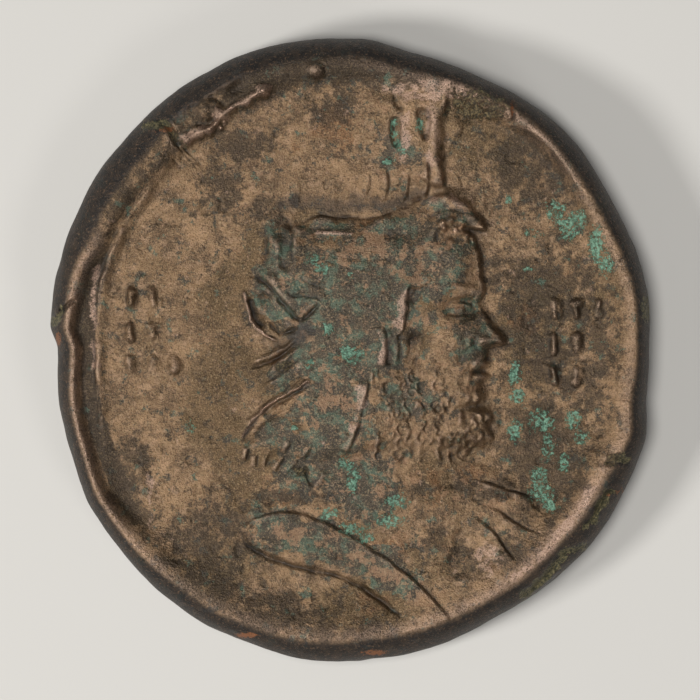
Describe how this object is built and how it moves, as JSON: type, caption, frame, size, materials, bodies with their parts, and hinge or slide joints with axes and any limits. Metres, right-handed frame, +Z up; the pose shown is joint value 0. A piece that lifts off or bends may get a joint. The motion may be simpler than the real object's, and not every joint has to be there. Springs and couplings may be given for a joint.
{
  "type": "struck coin",
  "caption": "Thick worn coin of copper-silver alloy with a draped bearded bust in a tall basket crown, lying flat on its plainer side.",
  "frame": {"origin": "on the surface that the coin lies on, under the middle of its outline", "axes": "+Z up out of the face with the bust, +Y towards the top of the bust's crown, +X the way the bust looks"},
  "size_m": [0.0242, 0.025, 0.0041],
  "materials": {
    "billon": "worn brown billon with dark crevices and verdigris"
  },
  "bodies": {
    "root": {"coin": "billon"}
  },
  "joints": []
}
